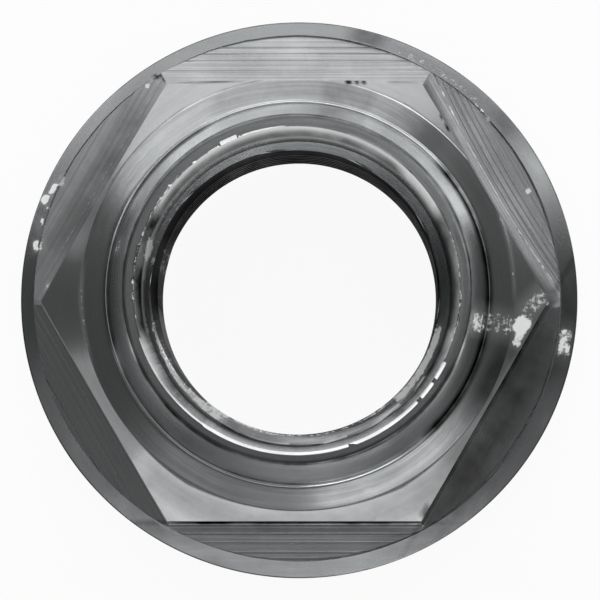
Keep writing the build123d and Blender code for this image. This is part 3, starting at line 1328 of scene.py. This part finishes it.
@dataclass
class Studio:
    """The floor, the lamps and the surroundings.

    Far is towards +Y and near towards -Y. Bright steel shows a lamp mostly on the faces that mirror
    it to the camera. So the high lamps are for the shelves and the shoulder, the ones midway for the
    collar's wall, and the low ones for the chamfers and edges.
    """

    floor_size: float = 4000.0
    floor_glow: float = 0.93
    room_light: float = 0.1
    softboxes: tuple[Softbox, ...] = (
        Softbox("far_softbox", 103, 54, 24, 23, 1.2, round=True),
        Softbox("far_low_softbox", 98, 26, 49, 8, 0.8),
        Softbox("far_strip", 88, 10, 24, 7, 3.2),
        Softbox("far_left_strip", 137, 10, 24, 7, 3.2),
        Softbox("far_right_strip", 39, 10, 24, 7, 3.2),
        Softbox("near_high_softbox", 300, 61, 12, 11, 1.15, round=True),
        Softbox("near_fill", 248, 66, 13, 12, 0.3, round=True),
        Softbox("near_low_softbox", 268, 28, 39, 10, 1.0),
        Softbox("near_strip", 288, 13, 15, 6, 5.0),
        Softbox("right_spot", 31, 30, 5, 8, 1.8),
        Softbox("left_fill", 157, 30, 9, 10, 0.12),
        Softbox("right_high_softbox", 38, 72, 7, 7, 0.5, round=True),
        Softbox("right_top_softbox", 42, 78, 4, 4, 1.7, round=True),
        Softbox("collar_right_fill", 52, 42, 19, 5, 2.7),
        Softbox("collar_left_fill", 118, 42, 24, 5, 1.5),
        Softbox("lip_fill", 90, 84, 4, 4, 0.4, round=True),
        Softbox("near_left_fill", 209, 30, 15, 8, 0.4),
        Softbox("near_right_fill", 326, 30, 17, 8, 0.3),
    )

    def floor(self) -> None:
        """Make the floor: matt white paper.

        To the camera and in reflections and glass it is mostly an even white of strength 1. The
        rest is lit paper, which shows the nut's shadow.
        """
        half = self.floor_size / 2 * MM
        corners = [(-half, -half, 0), (half, -half, 0), (half, half, 0), (-half, half, 0)]
        mesh = bpy.data.meshes.new("floor")
        mesh.from_pydata(corners, [], [(0, 1, 2, 3)])
        sheet = bpy.data.objects.new("floor", mesh)
        bpy.context.scene.collection.objects.link(sheet)
        material = bpy.data.materials.new("white_paper")
        material.use_nodes = True
        tree = material.node_tree
        tree.nodes.clear()
        rays = add_node(tree, "ShaderNodeLightPath")
        seen = add_node(tree, "ShaderNodeMath", {"operation": "MAXIMUM"},
                        {0: rays.outputs["Is Camera Ray"], 1: rays.outputs["Is Glossy Ray"]})
        seen = add_node(tree, "ShaderNodeMath", {"operation": "MAXIMUM"},
                        {0: seen.outputs[0], 1: rays.outputs["Is Transmission Ray"]})
        share = add_node(tree, "ShaderNodeMath", {"operation": "MULTIPLY"},
                         {0: seen.outputs[0], 1: self.floor_glow})
        paper = add_node(tree, "ShaderNodeBsdfDiffuse", inputs={"Color": linear("#FCFCFC")})
        glow = add_node(tree, "ShaderNodeEmission", inputs={"Color": (1, 1, 1, 1), "Strength": 1.0})
        mixed = add_node(tree, "ShaderNodeMixShader", inputs={0: share.outputs[0], 1: paper.outputs[0],
                                                              2: glow.outputs[0]})
        add_node(tree, "ShaderNodeOutputMaterial", inputs={0: mixed.outputs[0]})
        mesh.materials.append(material)

    def surroundings(self) -> None:
        """Light the room faintly and evenly."""
        world = bpy.data.worlds.new("studio")
        world.use_nodes = True
        tree = world.node_tree
        tree.nodes.clear()
        light = add_node(tree, "ShaderNodeBackground",
                         inputs={"Color": (1, 1, 1, 1), "Strength": self.room_light})
        add_node(tree, "ShaderNodeOutputWorld", inputs={0: light.outputs[0]})
        bpy.context.scene.world = world

    def build(self) -> None:
        """Set up the studio."""
        self.floor()
        self.surroundings()
        for softbox in self.softboxes:
            softbox.build()


@dataclass(frozen=True)
class Viewpoint:
    """The camera: nearly overhead, leaning a little to the near side.

    The lens follows from how many pixels the flange's radius takes up in the render.
    """

    sizes: NutSizes
    lean_across: float = 0.0105
    lean_near: float = -0.0480
    distance: float = 338.0
    target_x: float = 0.072
    target_y: float = -0.038
    render_width_px: float = 600.0
    flange_radius_px: float = 278.3
    sensor_width: float = 36.0
    nearest: float = 10.0
    farthest: float = 20000.0

    def build(self) -> None:
        """Make the camera and give it to the scene.

        It looks at a point at the height of the rim's edge. The focal length is the distance times
        the sensor's width, over the millimetres that the render's width covers at that height.
        """
        camera = bpy.data.cameras.new("camera")
        scale = self.flange_radius_px / self.sizes.flange_radius
        camera.sensor_fit = "HORIZONTAL"
        camera.sensor_width = self.sensor_width
        camera.lens = scale * self.distance * self.sensor_width / self.render_width_px
        camera.clip_start, camera.clip_end = self.nearest * MM, self.farthest * MM
        back = Vector((self.lean_across, self.lean_near, 1)).normalized()
        up = (Vector((0, 1, 0)) - back * back.y).normalized()
        right = up.cross(back)
        turn = Matrix((right, up, back)).transposed().to_4x4()
        target = Vector((self.target_x, self.target_y, self.sizes.rim_top)) * MM
        stand = bpy.data.objects.new("camera", camera)
        stand.matrix_world = Matrix.Translation(target + back * self.distance * MM) @ turn
        bpy.context.scene.collection.objects.link(stand)
        bpy.context.scene.camera = stand


def main() -> None:
    """Build the nut and its studio, and report them."""
    logging.basicConfig(level=logging.INFO, format="%(name)s: %(message)s")
    bpy.context.scene.view_settings.view_transform = "Standard"
    sizes = NutSizes.from_frame()
    nut = Nut(sizes).build()
    log.info("built %s", nut.name)
    Studio().build()
    Viewpoint(sizes).build()


if __name__ == "__main__":
    main()
